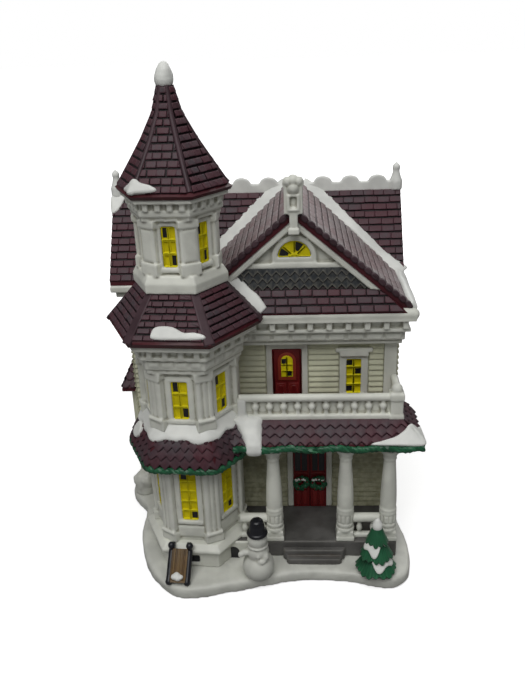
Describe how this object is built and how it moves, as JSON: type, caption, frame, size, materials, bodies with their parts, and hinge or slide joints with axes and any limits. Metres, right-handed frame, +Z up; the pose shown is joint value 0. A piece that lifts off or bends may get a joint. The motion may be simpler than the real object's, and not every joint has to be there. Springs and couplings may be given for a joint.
{
  "type": "ceramic christmas village house",
  "caption": "Lighted ceramic village house in Victorian style: corner tower with spire, front gable, columned porch, snowy base with small figures, and a clip-in lamp at the rear.",
  "frame": {"origin": "a point of the flat underside, near the middle of the base", "axes": "+Z up along the tower, -Y out of the porch front, +X to the right as seen from the front"},
  "size_m": [0.1537, 0.1464, 0.235],
  "materials": {
    "snow_ceramic": "thin satin glaze over cast white ware",
    "white_ceramic": "thin satin glaze, grey wash in the corners",
    "cream_ceramic": "thin satin glaze, grey wash in the board lines",
    "plum_ceramic": "hand painted, dry brushed over raised tiles",
    "yellow_ceramic": "gloss yellow with some panes black",
    "blue_ceramic": "hand painted, pale edges",
    "red_ceramic": "hand painted",
    "green_ceramic": "hand painted, white snow dabs",
    "slate_ceramic": "hand painted, brown wash",
    "black_ceramic": "gloss black",
    "brown_ceramic": "hand painted wood grain",
    "socket_plastic": "moulded",
    "spring_steel": "bright strip",
    "cap_brass": "rolled",
    "bulb_clear": "clear"
  },
  "bodies": {
    "house": {"balcony_door": "red_ceramic", "balcony_post": "white_ceramic", "balcony_railing": "white_ceramic", "base": "snow_ceramic", "corner_snow": "snow_ceramic", "door_wreaths": "green_ceramic", "eave_cornices": "white_ceramic", "fan_window": "yellow_ceramic", "fir_tree": "green_ceramic", "front_doors": "red_ceramic", "gable_bracket": "white_ceramic", "gable_scallops": "blue_ceramic", "gable_wall": "cream_ceramic", "house_walls": "cream_ceramic", "house_window_casings": "white_ceramic", "house_window_panes": "yellow_ceramic", "left_gable_end": "cream_ceramic", "main_cornice": "white_ceramic", "main_roof": "plum_ceramic", "pent_roof": "plum_ceramic", "porch_beam": "white_ceramic", "porch_column_left": "white_ceramic", "porch_column_middle": "white_ceramic", "porch_column_right": "white_ceramic", "porch_floor": "slate_ceramic", "porch_garland": "green_ceramic", "porch_railing_left": "white_ceramic", "porch_railing_right": "white_ceramic", "porch_roof": "plum_ceramic", "porch_steps": "slate_ceramic", "ridge_cresting": "white_ceramic", "ridge_finials": "white_ceramic", "right_gable_end": "cream_ceramic", "roof_snow": "snow_ceramic", "side_bay": "cream_ceramic", "side_bay_roof": "plum_ceramic", "sled_deck": "brown_ceramic", "sled_runners": "black_ceramic", "snow_bush": "snow_ceramic", "snowman": "snow_ceramic", "snowman_hat": "black_ceramic", "spire_finial": "snow_ceramic", "tower_foundation": "white_ceramic", "tower_garland": "green_ceramic", "tower_lower_roof": "plum_ceramic", "tower_lower_storey": "white_ceramic", "tower_lower_windows": "yellow_ceramic", "tower_middle_roof": "plum_ceramic", "tower_middle_storey": "white_ceramic", "tower_middle_windows": "yellow_ceramic", "tower_spire": "plum_ceramic", "tower_upper_storey": "white_ceramic", "tower_upper_windows": "yellow_ceramic", "valley_snow": "snow_ceramic", "wall_trim": "white_ceramic", "wing_roof": "plum_ceramic"},
    "lamp": {"lamp_socket": "socket_plastic", "lamp_clip": "spring_steel"},
    "bulb": {"bulb_cap": "cap_brass", "bulb_glass": "bulb_clear"}
  },
  "joints": [
    {"name": "lamp_pull", "type": "slide", "parent": "house", "child": "lamp", "axis": [0, 1, 0], "range_m": [0, 0.07]},
    {"name": "bulb_unscrew", "type": "hinge", "parent": "lamp", "child": "bulb", "pos_m": [0.0005, 0.05, 0.038], "axis": [0, -1, 0], "range_deg": [0, 360]}
  ]
}
